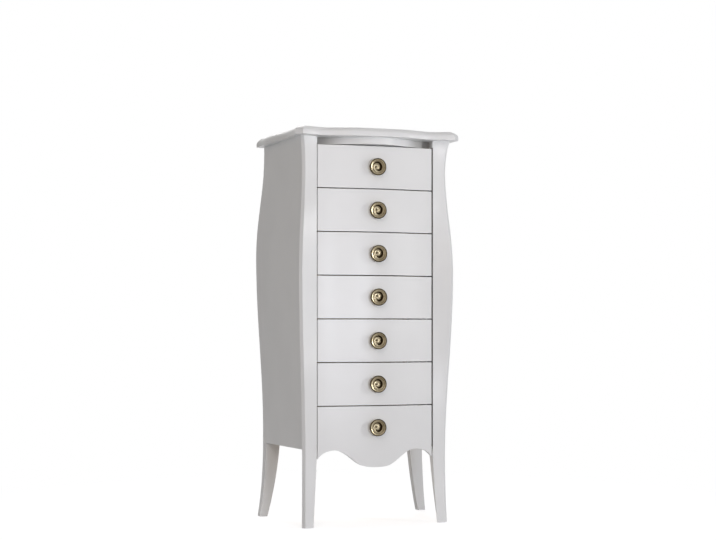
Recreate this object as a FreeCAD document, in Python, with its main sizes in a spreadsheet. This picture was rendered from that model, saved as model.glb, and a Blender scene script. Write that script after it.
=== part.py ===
# Semainier: a tall seven-drawer chest with swelling (bombe) corner posts that run down
# into splayed legs, a serpentine moulded top, bowed drawer fronts and a scalloped apron
# that is one piece with the lowest drawer front.
#
# Frame: millimetres, +Z up, the drawers face -Y, +X is to the right of someone facing
# them. The origin is on the floor, below the middle of the top board.
import FreeCAD, Part
import math
import os

from FreeCAD import Placement, Rotation, Vector

DRAWERS = 7
DRIVING_DIMENSIONS = [
    # (name, millimetres, what it measures)
    ("total_height", 1150.0, "floor to the top face"),
    ("top_thickness", 24.0, "moulded top board"),
    ("frieze_height", 21.5, "rail between the top board and the first drawer"),
    ("drawer_pitch", 126.0, "from one drawer to the next"),
    ("opening_width", 356.0, "between the front posts"),
    ("body_depth", 310.0, "front plane, beside the drawers, to the back of the case"),
    # plan of the case at its waists, to the outer corners
    ("front_waist_width", 425.4, "across the ridges of the front posts"),
    ("rear_width_top", 505.4, "across the rear posts, upper waist"),
    ("rear_width_bottom", 512.6, "across the rear posts, lower waist"),
    # the swell of the posts
    ("front_swell_out", 16.3, "front ridge, sideways"),
    ("front_swell_forward", 24.0, "front ridge, forwards"),
    ("front_swell_height", 735.0, "fullest height of the front posts"),
    ("front_upper_waist", 1045.0, "height of the front posts' upper waist"),
    ("front_lower_waist", 190.0, "height of the front posts' lower waist"),
    ("rear_swell_out", 24.0, "rear corner, sideways"),
    ("rear_swell_height", 795.0, "fullest height of the rear posts"),
    ("rear_upper_waist", 1095.0, "height of the rear posts' upper waist"),
    ("rear_lower_waist", 250.0, "height of the rear posts' lower waist"),
    ("flare_out", 9.5, "front ridge under the top, sideways"),
    ("flare_forward", 15.0, "front ridge under the top, forwards"),
    ("corner_chamfer", 8.0, "flat along the outer corner of a front post"),
    ("front_post_depth", 42.0, "front post, front to back"),
    ("rear_post_depth", 26.0, "rear post, front to back"),
    ("rear_post_width", 43.0, "rear post, at its upper waist"),
    # legs, below the case
    ("front_foot_width", 33.0, "front foot, across"),
    ("front_foot_depth", 26.0, "front foot, front to back"),
    ("front_foot_out", 3.3, "splay of the front foot, sideways"),
    ("front_foot_forward", 8.5, "splay of the front foot, forwards"),
    ("rear_foot_width", 25.0, "side of the square rear foot"),
    ("rear_foot_out", 13.0, "splay of the rear foot, sideways"),
    ("rear_foot_back", 12.0, "splay of the rear foot, backwards"),
    ("leg_outer_draft", 12.0, "a front leg's outer side runs in by this at its back"),
    ("leg_inner_draft", 5.0, "a front leg's inner side runs in by this at its back"),
    ("foot_outer_draft", 7.0, "the outer side's draft at the foot"),
    ("foot_inner_draft", 9.0, "the inner side's draft at the foot"),
    # case boards
    ("panel_thickness", 15.0, "side panels"),
    ("back_thickness", 8.0, "back panel"),
    ("bottom_thickness", 12.0, "bottom board"),
    ("frieze_thickness", 16.0, "frieze rail at its ends"),
    ("frieze_setback", 26.0, "frieze rail's ends behind the front plane"),
    ("frieze_bow", 60.0, "bow of the frieze rail, which follows the front of the top"),
    # top board, measured from the front plane and the centre line
    ("top_front_reach", 53.0, "front of the top at the centre"),
    ("top_hollow_reach", 30.0, "front of the top over the opening's ends"),
    ("top_ear_reach", 43.0, "front of the top at its ears"),
    ("top_ear_half_width", 250.0, "centre line to the side of a front ear"),
    ("top_hollow_half_width", 249.0, "centre line to the hollow of the side"),
    ("top_swell_half_width", 270.0, "centre line to the swell of the side"),
    ("top_rear_half_width", 275.0, "centre line to a rear ear"),
    ("top_rear_reach", 16.0, "top board behind the case"),
    ("top_ear_clip", 17.0, "corner cut off a front ear"),
    ("top_rear_clip", 10.0, "corner cut off a rear ear, at its widest"),
    # running clearances
    ("front_gap", 3.0, "between one drawer front and the next"),
    ("side_gap", 2.0, "drawer front to post"),
    ("slide_gap", 0.3, "under the drawer sides"),
    ("box_gap", 2.5, "drawer side to post"),
    ("guide_gap", 0.6, "drawer side to runner"),
    ("back_gap", 1.5, "drawer front to what is behind it"),
    ("stop_gap", 1.0, "drawer box to the back panel, which stops it"),
    # drawer fronts
    ("front_inset", 2.5, "a drawer front's ends behind the front plane"),
    ("front_thickness", 16.0, "drawer front at its ends"),
    ("front_bow", 10.0, "bow of the fronts at the waists"),
    ("front_bow_swell", 8.0, "more bow where the posts swell"),
    ("apron_drop", 53.0, "lowest drawer line to the bottom of the apron's lobe"),
    ("apron_rise", 51.0, "the lobe to the arches beside it"),
    # drawer boxes
    ("box_lift", 15.0, "box above the lower line of its drawer"),
    ("box_height", 92.0, "box sides"),
    ("box_side_thickness", 12.0, "box sides"),
    ("box_back_thickness", 10.0, "box back"),
    ("box_floor_thickness", 4.0, "box bottom"),
    ("groove_depth", 5.0, "groove for the box bottom"),
    ("groove_height", 8.0, "groove above the lower edge"),
    ("groove_play", 0.3, "groove wider than the box bottom"),
    # drawer runners
    ("runner_thickness", 12.0, "ledge under the drawer side"),
    ("runner_reach", 16.0, "ledge inside the opening"),
    ("guide_thickness", 13.0, "upright guide beside the drawer"),
    ("guide_height", 24.0, "guide above the ledge"),
    # knobs
    ("knob_diameter", 50.0, "disc"),
    ("knob_projection", 20.0, "seat to the face of the disc"),
    ("knob_disc_thickness", 6.0, "disc"),
    ("knob_rose_diameter", 42.0, "base on the drawer front"),
    ("knob_rose_thickness", 3.0, "base on the drawer front"),
    ("knob_waist_diameter", 37.0, "waist of the knob"),
    ("knob_flare_height", 5.0, "cone from waist to disc"),
    ("knob_rim_width", 4.0, "raised rim of the disc"),
    ("knob_boss_diameter", 11.0, "boss in the middle of the disc"),
    ("knob_seat_depth", 1.6, "flat seat cut in the drawer front"),
    ("seat_play", 0.25, "seat wider than the rose, all round"),
    ("screw_diameter", 4.0, "knob screw"),
    ("screw_hole_play", 0.3, "hole wider than the screw"),
    ("screw_grip", 11.0, "length of screw in the knob"),
    ("screw_head_diameter", 9.0, "knob screw's head"),
    ("screw_head_height", 2.8, "knob screw's head"),
]

# Half of the apron's lower edge, from the lobe on the centre line to the post:
# share of the half opening, share of the apron's rise.
APRON_TEMPLATE = [(0.0, 0.0), (0.25, 0.13), (0.48, 0.68), (0.70, 1.0), (0.86, 0.90), (1.0, 0.52)]

# The moulded edge of the top, from its underside to its top face:
# share of the board's thickness, inset from the widest outline in millimetres.
TOP_MOULDING = [(0.0, 0.0), (0.2, 0.0), (0.4, 0.2), (0.58, 1.4), (0.74, 3.8), (0.88, 7.0), (1.0, 11.0)]

# Along the side of the top, as shares of the case's depth: where it is hollow, turns,
# is full and has its last shoulder, and how far that shoulder is on from the swell to the ear.
HOLLOW_AT = 0.25
TURN_AT = 0.50
SWELL_AT = 0.75
SHOULDER_AT = 0.90
SHOULDER_SHARE = 0.2

# Half way from the centre line to the end of the opening, the front of the top still
# stands out by this share of what the centre stands out beyond the hollow.
LOBE_SHARE = 0.8

# From the end of the opening out to a front ear, the top is half way forward at this share.
EAR_START_SHARE = 0.4

POST_STATIONS = 15
LEG_STATIONS = 6
DRAWER_STATIONS = 3
BOW_POINTS = 9
SPLAY_POWER = 2.2
TAPER_POWER = 1.1

# A tool that cuts through a piece starts and ends this far outside it.
OVERSHOOT = 1.0

doc = FreeCAD.newDocument("semainier")
sheet = doc.addObject("Spreadsheet::Sheet", "Sizes")
for row, (alias, millimetres, meaning) in enumerate(DRIVING_DIMENSIONS, start=1):
    sheet.set(f"A{row}", alias)
    sheet.set(f"B{row}", str(millimetres))
    sheet.set(f"C{row}", meaning)
    sheet.setAlias(f"B{row}", alias)
doc.recompute()


def size(expression):
    """The number that an expression over the sheet's names gives."""
    return float(sheet.evalExpression(expression))


# Places that several pieces share, as expressions over the sheet.
CASE_TOP = "(Sizes.total_height - Sizes.top_thickness)"
FRONT_PLANE = "((Sizes.top_front_reach - Sizes.body_depth - Sizes.top_rear_reach) / 2)"
BACK_PLANE = f"({FRONT_PLANE} + Sizes.body_depth)"
HALF_OPENING = "(Sizes.opening_width / 2)"
HALF_FRONT = f"({HALF_OPENING} - Sizes.side_gap)"
HALF_BOX = f"({HALF_OPENING} - Sizes.box_gap)"
FRONT_FACE = f"({FRONT_PLANE} + Sizes.front_inset)"
FRONT_INSIDE = f"({FRONT_FACE} + Sizes.front_thickness)"
BEHIND_FRONTS = f"({FRONT_INSIDE} + Sizes.back_gap)"
BEHIND_POST = f"({FRONT_PLANE} + Sizes.front_post_depth)"
BACK_PANEL_FACE = f"({BACK_PLANE} - Sizes.back_thickness)"
REAR_POST_FACE = f"({BACK_PLANE} - Sizes.rear_post_depth)"
REAR_POST_INSIDE = "(Sizes.rear_width_top / 2 - Sizes.rear_post_width)"
BOX_LENGTH = f"({BACK_PANEL_FACE} - Sizes.stop_gap - {FRONT_INSIDE})"


def lower_line(drawer):
    """Height of the line under a drawer; drawer 1 is the top one, 0 gives the first line."""
    return f"({CASE_TOP} - Sizes.frieze_height - {drawer} * Sizes.drawer_pitch)"


def knob_line(drawer):
    return f"({lower_line(drawer)} + Sizes.drawer_pitch / 2)"


def box_underside(drawer):
    return f"({lower_line(drawer)} + Sizes.box_lift)"


CASE_BOTTOM = f"({box_underside(DRAWERS)} - Sizes.slide_gap - Sizes.bottom_thickness)"

front_plane = size(FRONT_PLANE)
back_plane = size(BACK_PLANE)
case_top = size(CASE_TOP)
case_bottom = size(CASE_BOTTOM)
half_opening = size(HALF_OPENING)
half_front = size(HALF_FRONT)


def make_box(name, low, extent):
    """A board: its low corner and its extent, each three expressions over the sheet."""
    board = doc.addObject("Part::Box", name)
    for prop, expression in zip(("Length", "Width", "Height"), extent):
        board.setExpression(prop, expression)
    for axis, expression in zip("xyz", low):
        board.setExpression(f"Placement.Base.{axis}", expression)
    return board


def make_cut(name, body, tool):
    cut = doc.addObject("Part::Cut", name)
    cut.Base = body
    cut.Tool = tool
    return cut


def make_union(name, pieces):
    union = doc.addObject("Part::MultiFuse", name)
    union.Shapes = pieces
    return union


def make_feature(name, shape):
    feature = doc.addObject("Part::Feature", name)
    feature.Shape = shape
    return feature


def make_mirror(name, source):
    """The left-hand piece of a pair, mirrored in the centre plane."""
    mirror = doc.addObject("Part::Mirroring", name)
    mirror.Source = source
    mirror.Base = Vector(0, 0, 0)
    mirror.Normal = Vector(1, 0, 0)
    return mirror


def smooth_edge(points):
    curve = Part.BSplineCurve()
    curve.interpolate(points)
    return curve.toShape()


def stations(low, high, count):
    return [low + (high - low) * step / (count - 1) for step in range(count)]


def raised_cosine(height, lower, peak, upper):
    """0 at the lower and upper heights and beyond, 1 at the peak, smooth all along."""
    limit = upper if height > peak else lower
    share = min(1.0, (height - peak) / (limit - peak))
    return (1.0 + math.cos(math.pi * share)) / 2.0


def front_swell(height):
    lower = size("Sizes.front_lower_waist")
    return raised_cosine(height, lower, size("Sizes.front_swell_height"), size("Sizes.front_upper_waist"))


def rear_swell(height):
    lower = size("Sizes.rear_lower_waist")
    return raised_cosine(height, lower, size("Sizes.rear_swell_height"), size("Sizes.rear_upper_waist"))


def top_flare(height):
    """The front posts spread again under the top board."""
    waist = size("Sizes.front_upper_waist")
    share = max(0.0, (height - waist) / (case_top - waist))
    return (1.0 - math.cos(math.pi * share)) / 2.0


# The four corner posts. A section is a list of (x, y) corners of the right-hand post.

def front_ridge(height):
    """Where the face of the right front post meets its chamfer."""
    swell = front_swell(height)
    flare = top_flare(height)
    outward = size("Sizes.front_swell_out") * swell + size("Sizes.flare_out") * flare
    forward = size("Sizes.front_swell_forward") * swell + size("Sizes.flare_forward") * flare
    return size("Sizes.front_waist_width / 2") + outward, front_plane - forward


def rear_corner_x(height):
    top = size("Sizes.rear_width_top / 2")
    bottom = size("Sizes.rear_width_bottom / 2")
    share = (height - case_bottom) / (case_top - case_bottom)
    return bottom + (top - bottom) * share + size("Sizes.rear_swell_out") * rear_swell(height)


def side_x(height, y):
    """The outer face of the right side: straight in plan from the front chamfer to the back."""
    ridge_x, ridge_y = front_ridge(height)
    chamfer = size("Sizes.corner_chamfer")
    start_x, start_y = ridge_x + chamfer, ridge_y + chamfer
    share = (y - start_y) / (back_plane - start_y)
    return start_x + (rear_corner_x(height) - start_x) * share


def front_post_section(height):
    ridge_x, ridge_y = front_ridge(height)
    chamfer = size("Sizes.corner_chamfer")
    rear = size(BEHIND_POST)
    return [
        (half_opening, front_plane),
        (ridge_x, ridge_y),
        (ridge_x + chamfer, ridge_y + chamfer),
        (side_x(height, rear), rear),
        (half_opening, rear),
    ]


def rear_post_section(height):
    front = size(REAR_POST_FACE)
    inside = size(REAR_POST_INSIDE)
    return [
        (inside, front),
        (side_x(height, front), front),
        (rear_corner_x(height), back_plane),
        (inside, back_plane),
    ]


def drafted(section, outer_draft, inner_draft):
    """A front leg's section: its back is narrower than its face, so both sides run in."""
    face_inner, ridge, chamfer_end, outer_rear, inner_rear = section
    return [
        face_inner, ridge, chamfer_end,
        (chamfer_end[0] - outer_draft, outer_rear[1]),
        (face_inner[0] + inner_draft, inner_rear[1]),
    ]


def front_leg_top(height):
    return drafted(
        front_post_section(height), size("Sizes.leg_outer_draft"), size("Sizes.leg_inner_draft"))


def front_foot():
    outer = size("Sizes.front_waist_width / 2 + Sizes.corner_chamfer + Sizes.front_foot_out")
    inner = outer - size("Sizes.front_foot_width")
    face = front_plane - size("Sizes.front_foot_forward")
    rear = face + size("Sizes.front_foot_depth")
    chamfer = size("Sizes.corner_chamfer")
    square = [(inner, face), (outer - chamfer, face), (outer, face + chamfer), (outer, rear), (inner, rear)]
    return drafted(square, size("Sizes.foot_outer_draft"), size("Sizes.foot_inner_draft"))


def rear_foot():
    outer = size("Sizes.rear_width_bottom / 2 + Sizes.rear_foot_out")
    inner = outer - size("Sizes.rear_foot_width")
    rear = back_plane + size("Sizes.rear_foot_back")
    face = rear - size("Sizes.rear_foot_width")
    return [(inner, face), (outer, face), (outer, rear), (inner, rear)]


def outer_corner(section):
    """The corner that the splay carries out to the foot."""
    return section[2]


def leg_section(top_section, foot, height):
    """Below the case the outer corner sweeps out to the foot, and the leg tapers behind it."""
    drop = 1.0 - height / case_bottom
    splay = drop ** SPLAY_POWER
    taper = drop ** TAPER_POWER
    top = top_section(height)
    top_outer = outer_corner(top)
    start_outer = outer_corner(top_section(case_bottom))
    foot_outer = outer_corner(foot)
    outer_x = top_outer[0] + splay * (foot_outer[0] - start_outer[0])
    outer_y = top_outer[1] + splay * (foot_outer[1] - start_outer[1])
    corners = []
    for (x, y), (foot_x, foot_y) in zip(top, foot):
        across = (x - top_outer[0]) + taper * ((foot_x - foot_outer[0]) - (x - top_outer[0]))
        along = (y - top_outer[1]) + taper * ((foot_y - foot_outer[1]) - (y - top_outer[1]))
        corners.append((outer_x + across, outer_y + along))
    return corners


def polygon(corners, height):
    points = [Vector(x, y, height) for x, y in corners]
    return Part.makePolygon(points + points[:1])


def make_leg(name, post_section, leg_top, foot):
    """A corner post and its leg, in one piece from the floor to the top board."""
    post = Part.makeLoft(
        [polygon(post_section(height), height)
         for height in stations(case_bottom, case_top, POST_STATIONS)],
        True)
    leg = Part.makeLoft(
        [polygon(leg_section(leg_top, foot, height), height)
         for height in stations(0.0, case_bottom, LEG_STATIONS)],
        True)
    return make_feature(name, post.fuse(leg))


front_leg_right = make_leg("front_leg_right", front_post_section, front_leg_top, front_foot())
front_leg_left = make_mirror("front_leg_left", front_leg_right)
rear_leg_right = make_leg("rear_leg_right", rear_post_section, rear_post_section, rear_foot())
rear_leg_left = make_mirror("rear_leg_left", rear_leg_right)


# The side panels stand between the posts, flush with them outside.

def side_panel_section(height):
    front = size(BEHIND_POST)
    rear = size(REAR_POST_FACE)
    thickness = size("Sizes.panel_thickness")
    front_x = side_x(height, front)
    rear_x = side_x(height, rear)
    return [(front_x - thickness, front), (front_x, front), (rear_x, rear), (rear_x - thickness, rear)]


side_panel_right = make_feature("side_panel_right", Part.makeLoft(
    [polygon(side_panel_section(height), height)
     for height in stations(case_bottom, case_top, POST_STATIONS)],
    True))
side_panel_left = make_mirror("side_panel_left", side_panel_right)

back_panel = make_box(
    "back_panel",
    (f"-{REAR_POST_INSIDE}", BACK_PANEL_FACE, CASE_BOTTOM),
    (f"2 * {REAR_POST_INSIDE}", "Sizes.back_thickness", f"{CASE_TOP} - {CASE_BOTTOM}"))


def make_bottom_board():
    """It fills the case between posts, panels and back, and carries the lowest drawer."""
    thickness = size("Sizes.bottom_thickness")
    half_plan = [
        (half_opening, size(BEHIND_FRONTS)),
        (half_opening, size(BEHIND_POST)),
        side_panel_section(case_bottom)[0],
        side_panel_section(case_bottom)[3],
        (size(REAR_POST_INSIDE), size(REAR_POST_FACE)),
        (size(REAR_POST_INSIDE), size(BACK_PANEL_FACE)),
    ]
    other_half = [(-x, y) for x, y in reversed(half_plan)]
    face = Part.Face(polygon(half_plan + other_half, case_bottom))
    return make_feature("bottom_board", face.extrude(Vector(0, 0, thickness)))


bottom_board = make_bottom_board()


# Bowed faces: the frieze rail and the drawer fronts have the same kind of plan.

def drawer_bow(height):
    return size("Sizes.front_bow") + size("Sizes.front_bow_swell") * front_swell(height)


def frieze_bow(height):
    return size("Sizes.frieze_bow")


def bowed_wire(half_width, face, inside, bow, height):
    """Plan of a bowed front: flat inside, hollow near its ends and full in the middle."""
    face_points = []
    for x in stations(-half_width, half_width, BOW_POINTS):
        forward = bow(height) * (1.0 + math.cos(math.pi * x / half_width)) / 2.0
        face_points.append(Vector(x, face - forward, height))
    left, right = Vector(-half_width, inside, height), Vector(half_width, inside, height)
    edges = [
        smooth_edge(face_points),
        Part.makeLine(face_points[-1], right),
        Part.makeLine(right, left),
        Part.makeLine(left, face_points[0]),
    ]
    return Part.Wire(edges)


def bowed_board(half_width, face, inside, bow, heights):
    return Part.makeLoft([bowed_wire(half_width, face, inside, bow, height) for height in heights], True)


frieze_low = size(f"{lower_line(0)} + Sizes.front_gap / 2")
frieze_face = front_plane + size("Sizes.frieze_setback")
frieze_rail = make_feature("frieze_rail", bowed_board(
    half_opening, frieze_face, frieze_face + size("Sizes.frieze_thickness"),
    frieze_bow, [frieze_low, case_top]))


# The top board: one outline, repeated with the inset of the moulding at each height.

def top_outline(height, inset):
    front_reach = front_plane + inset
    half_ear = size("Sizes.top_ear_half_width") - inset
    ear_front = front_reach - size("Sizes.top_ear_reach")
    clip = size("Sizes.top_ear_clip")
    rear = back_plane + size("Sizes.top_rear_reach") - inset
    half_rear = size("Sizes.top_rear_half_width") - inset
    rear_clip = size("Sizes.top_rear_clip") + inset
    depth = size("Sizes.body_depth")
    centre_front = front_reach - size("Sizes.top_front_reach")
    hollow_front = front_reach - size("Sizes.top_hollow_reach")
    lobe_front = hollow_front + LOBE_SHARE * (centre_front - hollow_front)
    ear_start = half_opening + EAR_START_SHARE * (half_ear - clip - half_opening)
    right_front = [
        (half_ear - clip, ear_front),
        (ear_start, (ear_front + hollow_front) / 2.0),
        (half_opening, hollow_front),
        (half_opening / 2.0, lobe_front),
    ]
    left_front = [(-x, y) for x, y in right_front]
    front = left_front + [(0.0, centre_front)] + right_front[::-1]
    hollow = size("Sizes.top_hollow_half_width") - inset
    swell = size("Sizes.top_swell_half_width") - inset
    right_side = [
        (half_ear, ear_front + clip),
        (hollow, front_plane + HOLLOW_AT * depth),
        ((hollow + swell) / 2.0, front_plane + TURN_AT * depth),
        (swell, front_plane + SWELL_AT * depth),
        (swell + SHOULDER_SHARE * (half_rear - swell), front_plane + SHOULDER_AT * depth),
        (half_rear, rear - rear_clip),
    ]
    rear_right = (half_rear - rear_clip, rear)

    def at(corner, side=1):
        return Vector(side * corner[0], corner[1], height)

    edges = [
        smooth_edge([at(corner) for corner in front]),
        Part.makeLine(at(front[-1]), at(right_side[0])),
        smooth_edge([at(corner) for corner in right_side]),
        Part.makeLine(at(right_side[-1]), at(rear_right)),
        Part.makeLine(at(rear_right), at(rear_right, -1)),
        Part.makeLine(at(rear_right, -1), at(right_side[-1], -1)),
        smooth_edge([at(corner, -1) for corner in reversed(right_side)]),
        Part.makeLine(at(right_side[0], -1), at(front[0])),
    ]
    return Part.Wire(edges)


top_board = make_feature("top_board", Part.makeLoft(
    [top_outline(case_top + share * size("Sizes.top_thickness"), inset) for share, inset in TOP_MOULDING],
    True))


# Drawer runners: an L of ledge and guide on each side, under every drawer but the
# lowest, which runs on the bottom board. The ledge is fixed to the front post's inner
# face and butts on the back panel; the guide stands behind the post.

def make_runner(drawer, side):
    name = f"runner_{drawer}_{side}"
    underside = f"{box_underside(drawer)} - Sizes.slide_gap - Sizes.runner_thickness"
    guide_face = f"({HALF_BOX} + Sizes.guide_gap)"
    ledge_low = f"{HALF_OPENING} - Sizes.runner_reach"
    guide_low = guide_face
    if side == "left":
        ledge_low = f"-{HALF_OPENING}"
        guide_low = f"-{guide_face} - Sizes.guide_thickness"
    ledge = make_box(
        f"{name}_ledge",
        (ledge_low, BEHIND_FRONTS, underside),
        ("Sizes.runner_reach", f"{BACK_PANEL_FACE} - {BEHIND_FRONTS}", "Sizes.runner_thickness"))
    guide = make_box(
        f"{name}_guide",
        (guide_low, BEHIND_POST, underside),
        ("Sizes.guide_thickness", f"{BACK_PANEL_FACE} - {BEHIND_POST}",
         "Sizes.runner_thickness + Sizes.guide_height"))
    return make_union(name, [ledge, guide])


drawer_runners = doc.addObject("Part::Compound", "drawer_runners")
drawer_runners.Links = [
    make_runner(drawer, side) for drawer in range(1, DRAWERS) for side in ("left", "right")]


# Drawers.

FACING_OUT = Rotation(Vector(1, 0, 0), 90)


def make_round(name, kind, radii, height, start):
    """A cylinder or cone of a knob or a screw, or a tool that cuts for one; start is its z."""
    solid = doc.addObject(kind, name)
    for prop, expression in radii.items():
        solid.setExpression(prop, expression)
    solid.setExpression("Height", height)
    solid.setExpression("Placement.Base.z", start)
    return solid


def seat_plane(height):
    """The flat that the knob stands on, a little below the bowed face."""
    return size(FRONT_FACE) - drawer_bow(height) + size("Sizes.knob_seat_depth")


def make_knob(drawer, height):
    """Rose, broad waist, flaring underside and a disc with a raised rim and a centre boss."""
    name = f"drawer_{drawer}_knob"
    disc_back = "(Sizes.knob_projection - Sizes.knob_rim_width / 2 - Sizes.knob_disc_thickness)"
    flare_start = f"({disc_back} - Sizes.knob_flare_height)"
    rose = make_round(
        f"{name}_rose", "Part::Cylinder", {"Radius": "Sizes.knob_rose_diameter / 2"},
        "Sizes.knob_rose_thickness", "0")
    waist = make_round(
        f"{name}_waist", "Part::Cylinder", {"Radius": "Sizes.knob_waist_diameter / 2"},
        f"{disc_back}", "0")
    flare = make_round(
        f"{name}_flare", "Part::Cone",
        {"Radius1": "Sizes.knob_waist_diameter / 2",
         "Radius2": "Sizes.knob_diameter / 2 - Sizes.knob_rim_width / 2"},
        "Sizes.knob_flare_height", flare_start)
    disc = make_round(
        f"{name}_disc", "Part::Cylinder", {"Radius": "Sizes.knob_diameter / 2"},
        "Sizes.knob_disc_thickness", disc_back)
    rim = doc.addObject("Part::Torus", f"{name}_rim")
    rim.setExpression("Radius1", "Sizes.knob_diameter / 2 - Sizes.knob_rim_width / 2")
    rim.setExpression("Radius2", "Sizes.knob_rim_width / 2")
    rim.setExpression("Placement.Base.z", f"{disc_back} + Sizes.knob_disc_thickness")
    boss = make_round(
        f"{name}_boss", "Part::Cone",
        {"Radius1": "Sizes.knob_boss_diameter / 2", "Radius2": "Sizes.knob_boss_diameter / 4"},
        "Sizes.knob_rim_width / 2", f"{disc_back} + Sizes.knob_disc_thickness")
    bore = make_round(
        f"{name}_bore", "Part::Cylinder", {"Radius": "Sizes.screw_diameter / 2"},
        "Sizes.screw_grip", "0")
    knob = make_cut(name, make_union(f"{name}_body", [rose, waist, flare, disc, rim, boss]), bore)
    knob.Placement = Placement(Vector(0, seat_plane(height), height), FACING_OUT)
    return knob


def make_screw(drawer, height):
    """The screw passes through the front from inside and grips the knob."""
    name = f"drawer_{drawer}_knob_screw"
    thickness = size(FRONT_INSIDE) - seat_plane(height)
    head = make_round(
        f"{name}_head", "Part::Cylinder", {"Radius": "Sizes.screw_head_diameter / 2"},
        "Sizes.screw_head_height", "-Sizes.screw_head_height")
    shank = make_round(
        f"{name}_shank", "Part::Cylinder", {"Radius": "Sizes.screw_diameter / 2"},
        f"{thickness} + Sizes.screw_grip", "0")
    screw = make_union(name, [head, shank])
    screw.Placement = Placement(Vector(0, size(FRONT_INSIDE), height), FACING_OUT)
    return screw


def make_apron_waste(low, high):
    """What is sawn off below the scalloped edge of the lowest front."""
    lobe = size(f"{lower_line(DRAWERS)} - Sizes.apron_drop")
    rise = size("Sizes.apron_rise")
    half = [(share * half_front, lobe + up * rise) for share, up in APRON_TEMPLATE]
    scallop = [(-x, z) for x, z in reversed(half[1:])] + half
    fullest_bow = size("Sizes.front_bow + Sizes.front_bow_swell")
    y = size(FRONT_FACE) - fullest_bow - OVERSHOOT
    edge_points = [Vector(x, y, z) for x, z in scallop]
    margin = half_front
    corners = [
        edge_points[-1],
        Vector(edge_points[-1].x + margin, y, edge_points[-1].z),
        Vector(edge_points[-1].x + margin, y, low - margin),
        Vector(edge_points[0].x - margin, y, low - margin),
        Vector(edge_points[0].x - margin, y, edge_points[0].z),
        edge_points[0],
    ]
    lines = [Part.makeLine(start, end) for start, end in zip(corners, corners[1:])]
    face = Part.Face(Part.Wire([smooth_edge(edge_points)] + lines))
    return make_feature("apron_waste", face.extrude(Vector(0, size(FRONT_INSIDE) + OVERSHOOT - y, 0)))


def make_front(drawer, height):
    """Bowed front with a flat knob seat, a screw hole and a groove for the box bottom."""
    name = f"drawer_{drawer}_front"
    low = size(f"{lower_line(drawer)} + Sizes.front_gap / 2")
    high = size(f"{lower_line(drawer - 1)} - Sizes.front_gap / 2")
    count = DRAWER_STATIONS
    lowest = drawer == DRAWERS
    if lowest:
        low = size(f"{lower_line(drawer)} - Sizes.apron_drop")
        count = 2 * DRAWER_STATIONS
    blank = make_feature(f"{name}_blank", bowed_board(
        half_front, size(FRONT_FACE), size(FRONT_INSIDE), drawer_bow, stations(low, high, count)))
    spot = make_round(
        f"{name}_seat", "Part::Cylinder", {"Radius": "Sizes.knob_rose_diameter / 2 + Sizes.seat_play"},
        "Sizes.knob_projection", knob_line(drawer))
    spot.Placement = Placement(Vector(0, seat_plane(height), height), FACING_OUT)
    hole = make_round(
        f"{name}_hole", "Part::Cylinder", {"Radius": "(Sizes.screw_diameter + Sizes.screw_hole_play) / 2"},
        "2 * Sizes.front_thickness + Sizes.front_bow + Sizes.front_bow_swell", knob_line(drawer))
    hole.Placement = Placement(Vector(0, size(FRONT_INSIDE) + OVERSHOOT, height), FACING_OUT)
    groove = make_box(
        f"{name}_groove",
        (f"-({HALF_BOX} - Sizes.box_side_thickness + Sizes.groove_depth)",
         f"{FRONT_INSIDE} - Sizes.groove_depth",
         f"{box_underside(drawer)} + Sizes.groove_height"),
        (f"2 * ({HALF_BOX} - Sizes.box_side_thickness + Sizes.groove_depth)",
         "2 * Sizes.groove_depth",
         "Sizes.box_floor_thickness + Sizes.groove_play"))
    tools = [spot, hole, groove]
    if lowest:
        tools.append(make_apron_waste(low, high))
    return make_cut(name, blank, make_union(f"{name}_tools", tools))


def make_drawer_side(drawer, side):
    name = f"drawer_{drawer}_side_{side}"
    low_x = f"-{HALF_BOX}"
    groove_x = f"-{HALF_BOX} + Sizes.box_side_thickness - Sizes.groove_depth"
    if side == "right":
        low_x = f"{HALF_BOX} - Sizes.box_side_thickness"
        groove_x = f"{low_x} - Sizes.groove_depth"
    board = make_box(
        f"{name}_board",
        (low_x, FRONT_INSIDE, box_underside(drawer)),
        ("Sizes.box_side_thickness", BOX_LENGTH, "Sizes.box_height"))
    groove = make_box(
        f"{name}_groove",
        (groove_x, f"{FRONT_INSIDE} - {OVERSHOOT}", f"{box_underside(drawer)} + Sizes.groove_height"),
        ("2 * Sizes.groove_depth", f"{BOX_LENGTH} + 2 * {OVERSHOOT}",
         "Sizes.box_floor_thickness + Sizes.groove_play"))
    return make_cut(name, board, groove)


def make_drawer_back(drawer):
    """It stands on the box bottom, between the sides."""
    low_z = f"{box_underside(drawer)} + Sizes.groove_height + Sizes.box_floor_thickness"
    inside = f"({HALF_BOX} - Sizes.box_side_thickness)"
    return make_box(
        f"drawer_{drawer}_back",
        (f"-{inside}", f"{FRONT_INSIDE} + {BOX_LENGTH} - Sizes.box_back_thickness", low_z),
        (f"2 * {inside}", "Sizes.box_back_thickness",
         "Sizes.box_height - Sizes.groove_height - Sizes.box_floor_thickness"))


def make_drawer_floor(drawer):
    """It slides into the grooves of the sides and the front, with a little play."""
    half = f"({HALF_BOX} - Sizes.box_side_thickness + Sizes.groove_depth - Sizes.groove_play)"
    reach = "(Sizes.groove_depth - Sizes.groove_play)"
    return make_box(
        f"drawer_{drawer}_bottom",
        (f"-{half}", f"{FRONT_INSIDE} - {reach}", f"{box_underside(drawer)} + Sizes.groove_height"),
        (f"2 * {half}", f"{BOX_LENGTH} + {reach}", "Sizes.box_floor_thickness"))


def make_drawer(drawer):
    height = size(knob_line(drawer))
    return [
        make_front(drawer, height),
        make_drawer_side(drawer, "left"),
        make_drawer_side(drawer, "right"),
        make_drawer_back(drawer),
        make_drawer_floor(drawer),
        make_knob(drawer, height),
        make_screw(drawer, height),
    ]


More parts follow.
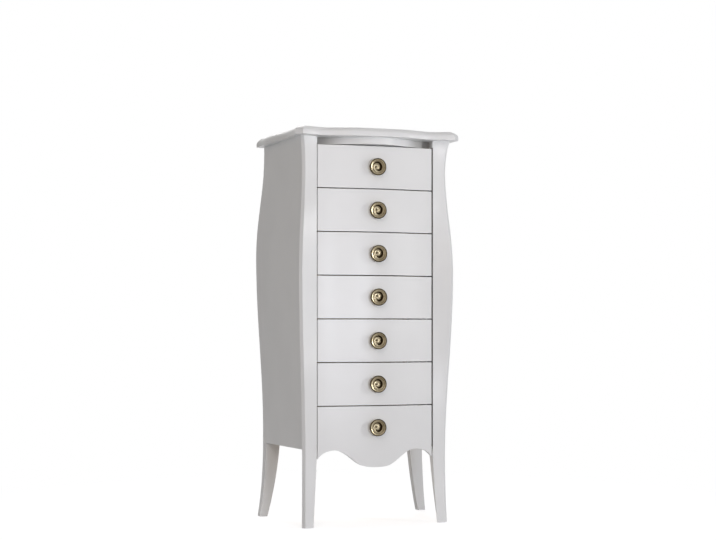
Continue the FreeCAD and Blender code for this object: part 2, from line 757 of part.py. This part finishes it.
nodes = [
    top_board, frieze_rail,
    front_leg_left, front_leg_right, rear_leg_left, rear_leg_right,
    side_panel_left, side_panel_right, back_panel, bottom_board, drawer_runners,
]
for number in range(1, DRAWERS + 1):
    nodes += make_drawer(number)

doc.recompute()
for item in doc.Objects:
    if "Invalid" in item.State or "Error" in item.State:
        raise RuntimeError(f"{item.Name} did not recompute: {item.State}")
for node in nodes:
    if node.Shape.isNull() or not node.Shape.isValid():
        raise RuntimeError(f"{node.Label} has no valid shape")

os.makedirs("parts", exist_ok=True)
for node in nodes:
    node.Shape.exportStep(f"parts/{node.Label}.step")
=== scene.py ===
import math

import bpy
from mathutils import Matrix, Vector


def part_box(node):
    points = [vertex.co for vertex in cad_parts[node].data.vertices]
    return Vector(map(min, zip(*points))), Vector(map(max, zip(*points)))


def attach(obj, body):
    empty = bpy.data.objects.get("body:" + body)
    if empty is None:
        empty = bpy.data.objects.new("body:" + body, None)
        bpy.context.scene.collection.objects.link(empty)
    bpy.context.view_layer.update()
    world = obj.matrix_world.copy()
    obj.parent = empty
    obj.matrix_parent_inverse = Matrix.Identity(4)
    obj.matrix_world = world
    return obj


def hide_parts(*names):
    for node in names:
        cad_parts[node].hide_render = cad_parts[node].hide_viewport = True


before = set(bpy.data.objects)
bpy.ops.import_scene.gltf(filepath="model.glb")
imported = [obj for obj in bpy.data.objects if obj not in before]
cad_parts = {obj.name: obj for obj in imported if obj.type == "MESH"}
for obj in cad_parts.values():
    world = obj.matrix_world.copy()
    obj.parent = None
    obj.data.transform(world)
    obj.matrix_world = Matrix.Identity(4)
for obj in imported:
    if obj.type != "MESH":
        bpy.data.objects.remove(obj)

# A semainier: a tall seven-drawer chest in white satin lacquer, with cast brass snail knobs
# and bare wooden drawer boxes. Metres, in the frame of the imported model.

# Blender's default file has a cube, a lamp and a camera, which aren't part of the chest.
for leftover in ("Cube", "Light", "Camera"):
    if leftover in bpy.data.objects:
        bpy.data.objects.remove(bpy.data.objects[leftover])
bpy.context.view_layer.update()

MM = 0.001
DRAWERS = range(1, 8)

# The opening between the corner posts, where the drawers run.
OPENING_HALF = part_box("frieze_rail")[1].x
OPENING_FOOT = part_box("drawer_7_front")[0].z
OPENING_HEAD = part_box("frieze_rail")[0].z


# Colours and nodes.

# Sockets of a Mix node that mixes colours.
MIX_FACTOR, MIX_UNDER, MIX_OVER, MIX_COLOUR = 0, 6, 7, 2


def linear(hex_colour):
    """An sRGB hex colour as linear red, green, blue and alpha."""
    channels = [int(hex_colour[i:i + 2], 16) / 255.0 for i in (1, 3, 5)]
    return tuple(c / 12.92 if c <= 0.04045 else ((c + 0.055) / 1.055) ** 2.4 for c in channels) + (1.0,)


def add_node(tree, kind, settings=None, values=None, links=None):
    """A node with its settings, its sockets' values and the sockets that feed it."""
    node = tree.nodes.new(kind)
    for name, value in (settings or {}).items():
        setattr(node, name, value)
    for socket, value in (values or {}).items():
        node.inputs[socket].default_value = value
    for socket, source in (links or {}).items():
        tree.links.new(source, node.inputs[socket])
    return node


def fill_ramp(ramp, stops):
    """Gives a colour ramp its stops: (place, hex colour)."""
    elements = ramp.color_ramp.elements
    while len(elements) < len(stops):
        elements.new(0.5)
    for element, (place, colour) in zip(elements, stops):
        element.position = place
        element.color = linear(colour)


def new_material(name):
    """A material, its node tree and its shader."""
    material = bpy.data.materials.new(name)
    material.use_nodes = True
    tree = material.node_tree
    return material, tree, tree.nodes["Principled BSDF"]


# Lacquer.

# How far the painted gap shade beside the drawers reaches past the edge of the opening.
GAP_SHADE_EDGE = 0.8 * MM
# Share of the frieze's half length at which the painted shade on its ends starts.
PAINTED_SHADE_START = 0.45


def make_satin_lacquer(name):
    """Sprayed white lacquer, rubbed to a satin: a soft sheen, a faint orange peel of
    2 mm and a hardly visible drift in tone, as where the coat is thicker."""
    material, tree, shader = new_material(name)
    shader.inputs["Roughness"].default_value = 0.33
    shader.inputs["IOR"].default_value = 1.5
    place = add_node(tree, "ShaderNodeTexCoord").outputs["Object"]
    peel_spacing = 2.0 * MM
    peel = add_node(tree, "ShaderNodeTexNoise", values={"Scale": 1.0 / peel_spacing, "Detail": 1.5},
                    links={"Vector": place})
    bump = add_node(tree, "ShaderNodeBump", values={"Strength": 0.05, "Distance": 0.06 * MM},
                    links={"Height": peel.outputs["Fac"]})
    drift_spacing = 180.0 * MM
    drift = add_node(tree, "ShaderNodeTexNoise", values={"Scale": 1.0 / drift_spacing, "Detail": 2.0},
                     links={"Vector": place})
    tone = add_node(tree, "ShaderNodeValToRGB", links={"Fac": drift.outputs["Fac"]})
    fill_ramp(tone, [(0.35, "#e7e7e6"), (0.65, "#ebebea")])
    tree.links.new(tone.outputs["Color"], shader.inputs["Base Color"])
    tree.links.new(bump.outputs["Normal"], shader.inputs["Normal"])
    return material, tree, shader


def place_on_chest(tree):
    """How far a point lies to either side of the chest's middle, and how high."""
    place = add_node(tree, "ShaderNodeTexCoord").outputs["Object"]
    axes = add_node(tree, "ShaderNodeSeparateXYZ", links={"Vector": place})
    beside = add_node(tree, "ShaderNodeMath", {"operation": "ABSOLUTE"}, links={0: axes.outputs["X"]})
    return beside.outputs[0], axes.outputs["Z"]


def lay_over(tree, shader, mask, colour):
    """Lays a second colour over a finish, as far as the mask lets it."""
    tone = shader.inputs["Base Color"].links[0].from_socket
    mix = add_node(tree, "ShaderNodeMix", {"data_type": "RGBA"}, {MIX_OVER: linear(colour)},
                   {MIX_FACTOR: mask, MIX_UNDER: tone})
    tree.links.new(mix.outputs[MIX_COLOUR], shader.inputs["Base Color"])


def make_gap_shade_lacquer():
    """The same lacquer on the front posts, with painted shade in the drawer gaps: where the
    drawers run, their faces are a near-black brown, so the gaps look dark."""
    material, tree, shader = make_satin_lacquer("white_satin_lacquer_gap_shade")
    beside, height = place_on_chest(tree)
    inward = add_node(tree, "ShaderNodeMath", {"operation": "LESS_THAN"}, {1: OPENING_HALF + GAP_SHADE_EDGE},
                      {0: beside})
    middle = (OPENING_HEAD + OPENING_FOOT) / 2.0
    half = (OPENING_HEAD - OPENING_FOOT) / 2.0
    level = add_node(tree, "ShaderNodeMath", {"operation": "COMPARE"}, {1: middle, 2: half}, {0: height})
    gap_shade = add_node(tree, "ShaderNodeMath", {"operation": "MULTIPLY"},
                    links={0: inward.outputs[0], 1: level.outputs[0]})
    # Near-black brown on the posts' faces beside the drawers: painted shade in the gaps.
    lay_over(tree, shader, gap_shade.outputs[0], "#2e241a")
    return material


def make_frieze_shade_lacquer():
    """The same lacquer on the frieze rail, in the recess under the top, with painted shade:
    its ends beside the posts are greyer."""
    material, tree, shader = make_satin_lacquer("white_satin_lacquer_frieze_shade")
    beside = place_on_chest(tree)[0]
    ends = add_node(tree, "ShaderNodeMapRange", {"interpolation_type": "SMOOTHSTEP"},
                    {"From Min": PAINTED_SHADE_START * OPENING_HALF, "From Max": OPENING_HALF},
                    {"Value": beside})
    # Grey laid over the frieze's ends: painted shade in the recess beside the posts.
    lay_over(tree, shader, ends.outputs["Result"], "#7f7c77")
    return material


# Wood.

# Length and width of a streak of grain, drawn coarser than birch has it, so that it shows.
GRAIN_LENGTH = 250.0 * MM
GRAIN_WIDTH = 4.545 * MM


def make_bare_wood(name, along, light, dark):
    """Planed birch, lightly sealed: pale and dull, with straight grain along one axis."""
    material, tree, shader = new_material(name)
    shader.inputs["Roughness"].default_value = 0.6
    place = add_node(tree, "ShaderNodeTexCoord").outputs["Object"]
    scale = [1.0 / (GRAIN_LENGTH if axis == along else GRAIN_WIDTH) for axis in "xyz"]
    stretch = add_node(tree, "ShaderNodeMapping", values={"Scale": scale}, links={"Vector": place})
    grain = add_node(tree, "ShaderNodeTexNoise", values={"Scale": 1.0, "Detail": 5.0, "Distortion": 0.6},
                     links={"Vector": stretch.outputs["Vector"]})
    tone = add_node(tree, "ShaderNodeValToRGB", links={"Fac": grain.outputs["Fac"]})
    fill_ramp(tone, [(0.36, dark), (0.62, light)])
    bump = add_node(tree, "ShaderNodeBump", values={"Strength": 0.15, "Distance": 0.1 * MM},
                    links={"Height": grain.outputs["Fac"]})
    tree.links.new(tone.outputs["Color"], shader.inputs["Base Color"])
    tree.links.new(bump.outputs["Normal"], shader.inputs["Normal"])
    return material


# Metals.

# The blotches in the brass rub it back, or leave it darker, by up to half of this share.
BLOTCH_RUB = 0.3


def make_antiqued_brass():
    """Cast brass, darkened and rubbed back: brown in the groove, warm, brighter and smoother
    where hands and the polishing cloth reach, with a fine cast grain. Its face also has painted
    light, lighter at the left and darker at the right, and painted shade round the rim's edge."""
    material, tree, shader = new_material("antiqued_brass")
    shader.inputs["Metallic"].default_value = 1.0
    place = add_node(tree, "ShaderNodeTexCoord").outputs["Object"]
    worn_and_lit = add_node(tree, "ShaderNodeAttribute", {"attribute_name": "worn_and_lit"}).outputs["Fac"]
    blotch_spacing = 5.0 * MM
    blotches = add_node(tree, "ShaderNodeTexNoise", values={"Scale": 1.0 / blotch_spacing, "Detail": 4.0},
                        links={"Vector": place})
    rub = add_node(tree, "ShaderNodeMath", {"operation": "MULTIPLY_ADD"},
                   {1: BLOTCH_RUB, 2: -BLOTCH_RUB / 2.0}, {0: blotches.outputs["Fac"]})
    patina_and_light = add_node(tree, "ShaderNodeMath", {"operation": "ADD", "use_clamp": True},
                      links={0: worn_and_lit, 1: rub.outputs[0]})
    tone = add_node(tree, "ShaderNodeValToRGB", links={"Fac": patina_and_light.outputs[0]})
    fill_ramp(tone, [(0.02, "#171006"), (0.2, "#3e331f"), (0.5, "#6e6451"), (0.75, "#9a8f77"),
                     (1.0, "#c6bca0")])
    sheen = add_node(tree, "ShaderNodeMapRange", values={"To Min": 0.42, "To Max": 0.27},
                     links={"Value": patina_and_light.outputs[0]})
    grit_spacing = 0.7 * MM
    grit = add_node(tree, "ShaderNodeTexNoise", values={"Scale": 1.0 / grit_spacing, "Detail": 2.0},
                    links={"Vector": place})
    bump = add_node(tree, "ShaderNodeBump", values={"Strength": 0.25, "Distance": 0.08 * MM},
                    links={"Height": grit.outputs["Fac"]})
    tree.links.new(tone.outputs["Color"], shader.inputs["Base Color"])
    tree.links.new(sheen.outputs["Result"], shader.inputs["Roughness"])
    tree.links.new(bump.outputs["Normal"], shader.inputs["Normal"])
    return material


def make_zinc_steel():
    """Zinc-plated screw steel: grey and half dull, with a faint mottle of 1.5 mm."""
    material, tree, shader = new_material("zinc_plated_steel")
    shader.inputs["Metallic"].default_value = 1.0
    shader.inputs["Roughness"].default_value = 0.4
    place = add_node(tree, "ShaderNodeTexCoord").outputs["Object"]
    mottle_spacing = 1.5 * MM
    mottle = add_node(tree, "ShaderNodeTexNoise", values={"Scale": 1.0 / mottle_spacing},
                      links={"Vector": place})
    tone = add_node(tree, "ShaderNodeValToRGB", links={"Fac": mottle.outputs["Fac"]})
    fill_ramp(tone, [(0.3, "#9a9a98"), (0.7, "#bcbcb8")])
    tree.links.new(tone.outputs["Color"], shader.inputs["Base Color"])
    return material


LACQUER = make_satin_lacquer("white_satin_lacquer")[0]
GAP_SHADE_LACQUER = make_gap_shade_lacquer()
FRIEZE_SHADE_LACQUER = make_frieze_shade_lacquer()
BRASS = make_antiqued_brass()
STEEL = make_zinc_steel()
BIRCH_DEEP = make_bare_wood("birch_front_to_back", "y", "#d9bf94", "#c3a274")
BIRCH_ACROSS = make_bare_wood("birch_side_to_side", "x", "#d9bf94", "#c5a577")
PLY_UPRIGHT = make_bare_wood("birch_ply_upright", "z", "#cfb78d", "#bc9d70")


# The construction's own pieces: a finish and an eased arris.

# Points this close are one corner. An edge that turns by more than this is eased, in so many
# steps.
WELD_REACH = 0.01 * MM
EASED_ANGLE = math.radians(35)
ARRIS_STEPS = 3

# The finish of each piece, and the width of its eased edges in millimetres.
CASE_FINISHES = {
    "front_leg_left": (GAP_SHADE_LACQUER, 1.6),
    "front_leg_right": (GAP_SHADE_LACQUER, 1.6),
    "rear_leg_left": (LACQUER, 1.6),
    "rear_leg_right": (LACQUER, 1.6),
    "side_panel_left": (LACQUER, 0.5),
    "side_panel_right": (LACQUER, 0.5),
    "frieze_rail": (FRIEZE_SHADE_LACQUER, 0.5),
    "top_board": (LACQUER, 1.0),
    "back_panel": (PLY_UPRIGHT, 0.4),
    "bottom_board": (BIRCH_ACROSS, 0.4),
    "drawer_runners": (BIRCH_DEEP, 0.6),
}
DRAWER_FINISHES = {
    "front": (LACQUER, 1.2),
    "side_left": (BIRCH_DEEP, 0.8),
    "side_right": (BIRCH_DEEP, 0.8),
    "back": (BIRCH_ACROSS, 0.8),
    "bottom": (BIRCH_ACROSS, 0.3),
    "knob_screw": (STEEL, 0.3),
}


def weld_corners(piece):
    piece.modifiers.new("weld", "WELD").merge_threshold = WELD_REACH


def finish_piece(name, material, arris):
    """Gives a piece its finish and breaks its sharp edges, as sanding does."""
    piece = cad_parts[name]
    piece.data.materials.clear()
    piece.data.materials.append(material)
    weld_corners(piece)
    bevel = piece.modifiers.new("arris", "BEVEL")
    bevel.width = arris * MM
    bevel.segments = ARRIS_STEPS
    bevel.limit_method = "ANGLE"
    bevel.angle_limit = EASED_ANGLE
    piece.modifiers.new("facing", "WEIGHTED_NORMAL").keep_sharp = True


for name, (material, arris) in CASE_FINISHES.items():
    finish_piece(name, material, arris)
for drawer in DRAWERS:
    for name, (material, arris) in DRAWER_FINISHES.items():
        finish_piece(f"drawer_{drawer}_{name}", material, arris)


# Knobs. Each is one casting: a broad base and waist, and a dished face with a raised rim,
# into which a snail groove winds, clockwise and inwards, round a raised hook. Places on the
# face are shares of its radius, and depths are in millimetres below the rim.

TURN_STEPS = 144
FACE_STEPS = 60

# Depth of the bare face: a shallow dish, a slope up to the rim, and the rim's rounded edge.
FACE_PROFILE = [(0.0, 0.9), (0.30, 1.0), (0.48, 0.85), (0.62, 0.9), (0.70, 1.3), (0.735, 1.3), (0.885, 0.28),
                (0.91, 0.06), (0.93, 0.0), (0.955, 0.2), (0.98, 0.9), (1.0, 2.2)]
# How far each place is rubbed back, from 0, black in the corners, to 1. From 0.91 out it
# is painted shade: the rim's outer edge is dark all round.
FACE_WEAR_AND_SHADE = [(0.0, 0.5), (0.3, 0.55), (0.52, 0.65), (0.64, 0.55), (0.72, 0.42), (0.77, 0.6), (0.87, 0.62),
             (0.91, 0.25), (0.94, 0.06), (1.0, 0.02)]
# Painted light that lightens the left edge of the face and darkens its right edge, and the
# wear that the cloth adds on the hook.
PAINTED_LIGHT_LEAN = 0.24
HOOK_RUB = 0.25
# A hollow this deep, in millimetres, is full of dirt, which hides this share of the wear.
DIRT_DEPTH = 1.6
DIRT_SHARE = 0.95
# The back of the casting: share of the radius, share of the way from rim to seat, wear.
# Its first point is dark: painted shade round the rim's edge.
BACK_PROFILE = [(1.0, 0.14, 0.1), (0.99, 0.24, 0.6), (0.95, 0.37, 0.95), (0.87, 0.49, 0.95),
                (0.79, 0.60, 0.8), (0.75, 0.71, 0.7), (0.77, 0.80, 0.8), (0.83, 0.86, 0.85),
                (0.835, 0.90, 0.7), (0.835, 1.0, 0.3)]

# The snail groove by the clock: it starts thin beside the rim, winds clockwise and inwards,
# and is widest and deepest at the right. Hour, and the share, width or depth there. Hours
# above 6 are its second time round.
GROOVE_RADIUS = [(-5.0, 0.73), (-3.0, 0.67), (-1.0, 0.58), (0.0, 0.53), (1.5, 0.42), (3.0, 0.34),
                 (4.5, 0.38), (6.0, 0.42), (9.0, 0.36)]
GROOVE_WIDTH = [(-4.0, 0.035), (-1.0, 0.06), (0.5, 0.09), (3.0, 0.12), (5.0, 0.11), (7.0, 0.07), (9.0, 0.04)]
GROOVE_DEPTH = [(-5.5, 0.0), (-4.0, 0.8), (-1.5, 1.2), (0.0, 2.4), (3.0, 3.4), (5.5, 2.8), (7.5, 1.0),
                (9.0, 0.0)]
ONCE_ROUND = 12.0

# The hook: a raised, rubbed ridge that the groove winds round, with a dimple inside it.
HOOK_MIDDLE = (-0.26, 0.03)
HOOK_RADIUS = 0.23
HOOK_WIDTH = 0.08
HOOK_HEIGHT = 0.8
HOOK_FADE = [(-3.0, 0.0), (-1.0, 0.6), (1.0, 1.0), (4.5, 1.0), (6.0, 0.0)]
DIMPLE_MIDDLE = (-0.30, 0.05)
DIMPLE_WIDTH = 0.09
DIMPLE_DEPTH = 1.5

# Each knob was screwed home by hand and stands a little turned: degrees, clockwise.
KNOB_TURNS = {1: -18.0, 2: 0.0, 3: 6.0, 4: 12.0, 5: -4.0, 6: -14.0, 7: 4.0}


def between(profile, place):
    """The profile's value at a place, straight from point to point and level beyond its ends."""
    for (left, low), (right, high) in zip(profile, profile[1:]):
        if place <= right:
            return low + (high - low) * max(0.0, (place - left) / (right - left))
    return profile[-1][1]


def bell(distance, width):
    """1 at no distance, falling away smoothly over about the width."""
    return math.exp(-(distance / width) ** 2)


def clock_hour(across, up):
    """The hour, clockwise from the top, at which a place lies, from -6 to 6."""
    half_round = ONCE_ROUND / 2.0
    return math.atan2(across, up) * half_round / math.pi


def groove_depth(across, up):
    """Depth of the snail groove, the deeper of its two times round."""
    share = math.hypot(across, up)
    depth = 0.0
    for hour in (clock_hour(across, up), clock_hour(across, up) + ONCE_ROUND):
        near = bell(share - between(GROOVE_RADIUS, hour), between(GROOVE_WIDTH, hour))
        depth = max(depth, between(GROOVE_DEPTH, hour) * near)
    return depth


def hook_share(across, up):
    """How much of the hook's full height a place has."""
    east, north = across - HOOK_MIDDLE[0], up - HOOK_MIDDLE[1]
    ridge = bell(math.hypot(east, north) - HOOK_RADIUS, HOOK_WIDTH)
    return between(HOOK_FADE, clock_hour(east, north)) * ridge


def dimple_depth(across, up):
    off_middle = math.hypot(across - DIMPLE_MIDDLE[0], up - DIMPLE_MIDDLE[1])
    return DIMPLE_DEPTH * bell(off_middle, DIMPLE_WIDTH)


def carved_face(across, up):
    """Depth of a place on the face, and its wear with painted light and shade."""
    share = math.hypot(across, up)
    hollow = max(groove_depth(across, up), dimple_depth(across, up))
    hook = hook_share(across, up)
    depth = between(FACE_PROFILE, share) + hollow - HOOK_HEIGHT * hook
    # Painted light: lighter towards the left of the face, darker towards the right.
    wear_and_light = between(FACE_WEAR_AND_SHADE, share) + HOOK_RUB * hook - PAINTED_LIGHT_LEAN * across
    dirt = min(1.0, hollow / DIRT_DEPTH)
    return max(0.0, depth), max(0.0, wear_and_light * (1.0 - DIRT_SHARE * dirt))


def knob_rings(turned):
    """The casting's rings of points, from the middle of the face round to the seat. Each has
    a place, which is across and up as shares of the radius, the depth in millimetres and the
    share of the way from rim to seat, and the wear there, with its painted light and shade."""
    lean = math.radians(turned)
    turns = [2.0 * math.pi * step / TURN_STEPS for step in range(TURN_STEPS)]
    for step in range(FACE_STEPS + 1):
        share = step / FACE_STEPS
        for turn in turns:
            depth, wear_and_light = carved_face(share * math.sin(turn - lean), share * math.cos(turn - lean))
            yield (share * math.sin(turn), share * math.cos(turn), depth, 0.0), wear_and_light
    for share, back, wear_and_light in BACK_PROFILE:
        for turn in turns:
            yield (share * math.sin(turn), share * math.cos(turn), 0.0, back), wear_and_light


def knob_faces(rings):
    """Faces from each ring of points to the next, and one that closes the seat."""
    faces = []
    for ring in range(rings - 1):
        start = ring * TURN_STEPS
        for turn in range(TURN_STEPS):
            here, after = start + turn, start + (turn + 1) % TURN_STEPS
            faces.append((here, here + TURN_STEPS, after + TURN_STEPS, after))
    seat = (rings - 1) * TURN_STEPS
    faces.append(tuple(range(seat, seat + TURN_STEPS)))
    return faces


def make_knob(drawer):
    """A drawer's knob, as large as the plain one that it replaces."""
    low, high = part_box(f"drawer_{drawer}_knob")
    radius = (high.z - low.z) / 2.0
    middle = (low + high) / 2.0
    thick = high.y - low.y
    places, wear_and_light = zip(*knob_rings(KNOB_TURNS[drawer]))
    corners = [(middle.x + radius * across, low.y + depth * MM + back * thick, middle.z + radius * up)
               for across, up, depth, back in places]
    mesh = bpy.data.meshes.new(f"snail_knob_{drawer}")
    mesh.from_pydata(corners, [], knob_faces(len(corners) // TURN_STEPS))
    mesh.attributes.new("worn_and_lit", "FLOAT", "POINT").data.foreach_set("value", wear_and_light)
    mesh.materials.append(BRASS)
    mesh.shade_smooth()
    knob = bpy.data.objects.new(f"snail_knob_{drawer}", mesh)
    bpy.context.scene.collection.objects.link(knob)
    weld_corners(knob)
    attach(knob, f"drawer_{drawer}")
    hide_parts(f"drawer_{drawer}_knob")


for drawer in DRAWERS:
    make_knob(drawer)


# Floor and backdrop.

FLOOR_HALF = 6.0
FLOOR_PAINT = "#e4e5e8"
# Glow that the floor adds to its paint for the rays that see the backdrop, and the distances
# from the chest's middle at which it starts to turn white and is as white as the backdrop.
FLOOR_LIFT = 0.70
FLOOR_FADE = (0.55, 1.5)
# Strength of the even light from all round.
AMBIENT = 0.085


def sees_backdrop(tree):
    """1 for the rays that show the white backdrop: the camera's, and those in gloss and glass."""
    path = add_node(tree, "ShaderNodeLightPath")
    glossy = add_node(tree, "ShaderNodeMath", {"operation": "MAXIMUM"},
                      links={0: path.outputs["Is Camera Ray"], 1: path.outputs["Is Glossy Ray"]})
    every = add_node(tree, "ShaderNodeMath", {"operation": "MAXIMUM"},
                     links={0: glossy.outputs[0], 1: path.outputs["Is Transmission Ray"]})
    return every.outputs[0]


def make_floor_paint():
    """Pale grey studio paint: it keeps the chest's shadow and fades into the white backdrop."""
    material, tree = new_material("studio_floor")[:2]
    tree.nodes.clear()
    seen = sees_backdrop(tree)
    paint = add_node(tree, "ShaderNodeBsdfDiffuse", values={"Color": linear(FLOOR_PAINT)})
    lift = add_node(tree, "ShaderNodeMath", {"operation": "MULTIPLY"}, {1: FLOOR_LIFT}, {0: seen})
    glow = add_node(tree, "ShaderNodeEmission", values={"Color": linear("#ffffff")},
                    links={"Strength": lift.outputs[0]})
    near = add_node(tree, "ShaderNodeAddShader", links={0: paint.outputs[0], 1: glow.outputs[0]})
    place = add_node(tree, "ShaderNodeTexCoord").outputs["Object"]
    distance = add_node(tree, "ShaderNodeVectorMath", {"operation": "LENGTH"}, links={0: place})
    fade = add_node(tree, "ShaderNodeMapRange", {"interpolation_type": "SMOOTHSTEP"},
                    {"From Min": FLOOR_FADE[0], "From Max": FLOOR_FADE[1]},
                    {"Value": distance.outputs["Value"]})
    share = add_node(tree, "ShaderNodeMath", {"operation": "MULTIPLY"},
                     links={0: seen, 1: fade.outputs["Result"]})
    white = add_node(tree, "ShaderNodeEmission", values={"Color": linear("#ffffff"), "Strength": 1.0})
    mix = add_node(tree, "ShaderNodeMixShader",
                   links={"Fac": share.outputs[0], 1: near.outputs[0], 2: white.outputs[0]})
    add_node(tree, "ShaderNodeOutputMaterial", links={"Surface": mix.outputs[0]})
    return material


def make_floor():
    mesh = bpy.data.meshes.new("studio_floor")
    square = ((-1, -1), (1, -1), (1, 1), (-1, 1))
    corners = [(FLOOR_HALF * across, FLOOR_HALF * deep, 0.0) for across, deep in square]
    mesh.from_pydata(corners, [], [(0, 1, 2, 3)])
    mesh.materials.append(make_floor_paint())
    floor = bpy.data.objects.new("studio_floor", mesh)
    bpy.context.scene.collection.objects.link(floor)


def make_world():
    """A white backdrop all round, and a dimmer even light."""
    world = bpy.data.worlds.new("studio")
    bpy.context.scene.world = world
    world.use_nodes = True
    tree = world.node_tree
    tree.nodes.clear()
    dim = add_node(tree, "ShaderNodeBackground", values={"Color": linear("#ffffff"), "Strength": AMBIENT})
    white = add_node(tree, "ShaderNodeBackground", values={"Color": linear("#ffffff"), "Strength": 1.0})
    mix = add_node(tree, "ShaderNodeMixShader",
                   links={"Fac": sees_backdrop(tree), 1: dim.outputs[0], 2: white.outputs[0]})
    add_node(tree, "ShaderNodeOutputWorld", links={"Surface": mix.outputs[0]})


# Lamps and camera.

CHEST_MIDDLE = (0.0, -0.1, 0.65)

# Name, place, width, height, watts and tint of each softbox.
SOFTBOXES = [
    # At the right: it lights a crescent in the dish of each knob.
    ("key_strip", (3.05, -2.66, 1.15), 0.4, 1.7, 36.0, "#ffffff"),
    # Warm, for the left side of the case.
    ("high_left_softbox", (-1.9, -3.3, 2.25), 2.6, 2.6, 32.0, "#ffefdd"),
    # Cool, for the fronts.
    ("high_front_softbox", (-0.9, -3.7, 2.37), 2.8, 2.8, 12.0, "#e2eaff"),
    # Overhead, for the top board and the floor.
    ("top_softbox", (-0.6, -1.9, 4.17), 2.4, 2.4, 13.0, "#f4f7ff"),
    # Low in front: its gloss lies on the middle drawers.
    ("gloss_softbox", (0.3, -4.1, 0.66), 0.6, 0.8, 34.0, "#f3f6ff"),
    # Behind, so that the back and the top don't go dark.
    ("rear_softbox", (0.3, 2.7, 3.6), 2.8, 2.8, 55.0, "#ffffff"),
]

# A level camera at the chest's left front: metres, radians, millimetres, and the share of the
# picture's longer side by which the view is moved up.
CAMERA_PLACE = (-1.42974, -4.23167, 0.56880)
CAMERA_YAW = 0.3241
CAMERA_LENS = 74.87
CAMERA_SHIFT_UP = 0.0836


def add_softbox(name, place, width, height, watts, tint):
    """An oval softbox, upright, that faces the middle of the chest."""
    lamp = bpy.data.lights.new(name, "AREA")
    lamp.shape = "ELLIPSE"
    lamp.size = width
    lamp.size_y = height
    lamp.energy = watts
    lamp.color = linear(tint)[:3]
    softbox = bpy.data.objects.new(name, lamp)
    softbox.location = place
    softbox.visible_camera = False
    softbox.rotation_mode = "QUATERNION"
    softbox.rotation_quaternion = (Vector(CHEST_MIDDLE) - Vector(place)).to_track_quat("-Z", "Y")
    bpy.context.scene.collection.objects.link(softbox)


def make_camera():
    lens = bpy.data.cameras.new("camera")
    lens.lens = CAMERA_LENS
    lens.shift_y = CAMERA_SHIFT_UP
    camera = bpy.data.objects.new("camera", lens)
    camera.location = CAMERA_PLACE
    camera.rotation_euler = (math.pi / 2.0, 0.0, -CAMERA_YAW)
    bpy.context.scene.collection.objects.link(camera)
    bpy.context.scene.camera = camera


make_floor()
make_world()
for softbox in SOFTBOXES:
    add_softbox(*softbox)
make_camera()
bpy.context.scene.view_settings.view_transform = "Standard"
